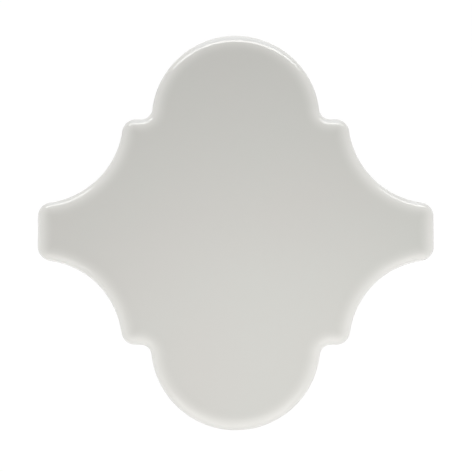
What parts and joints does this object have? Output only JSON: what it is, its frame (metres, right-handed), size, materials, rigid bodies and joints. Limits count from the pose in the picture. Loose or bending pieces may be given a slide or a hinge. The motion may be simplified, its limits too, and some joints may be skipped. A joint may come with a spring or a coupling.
{
  "type": "arabesque wall tile",
  "caption": "Glossy pale-grey ceramic wall tile of arabesque outline: a round lobe above and below, flat-ended arms, and hollow corners that take the neighbours' lobes.",
  "frame": {"origin": "middle of the back, in the plane that is bedded on the wall", "axes": "+Z out of the glazed face, +X to a flat-ended arm, +Y to a round lobe"},
  "size_m": [0.12, 0.12, 0.0085],
  "materials": {
    "glaze": "gloss"
  },
  "bodies": {
    "root": {"arabesque_tile": "glaze"}
  },
  "joints": []
}
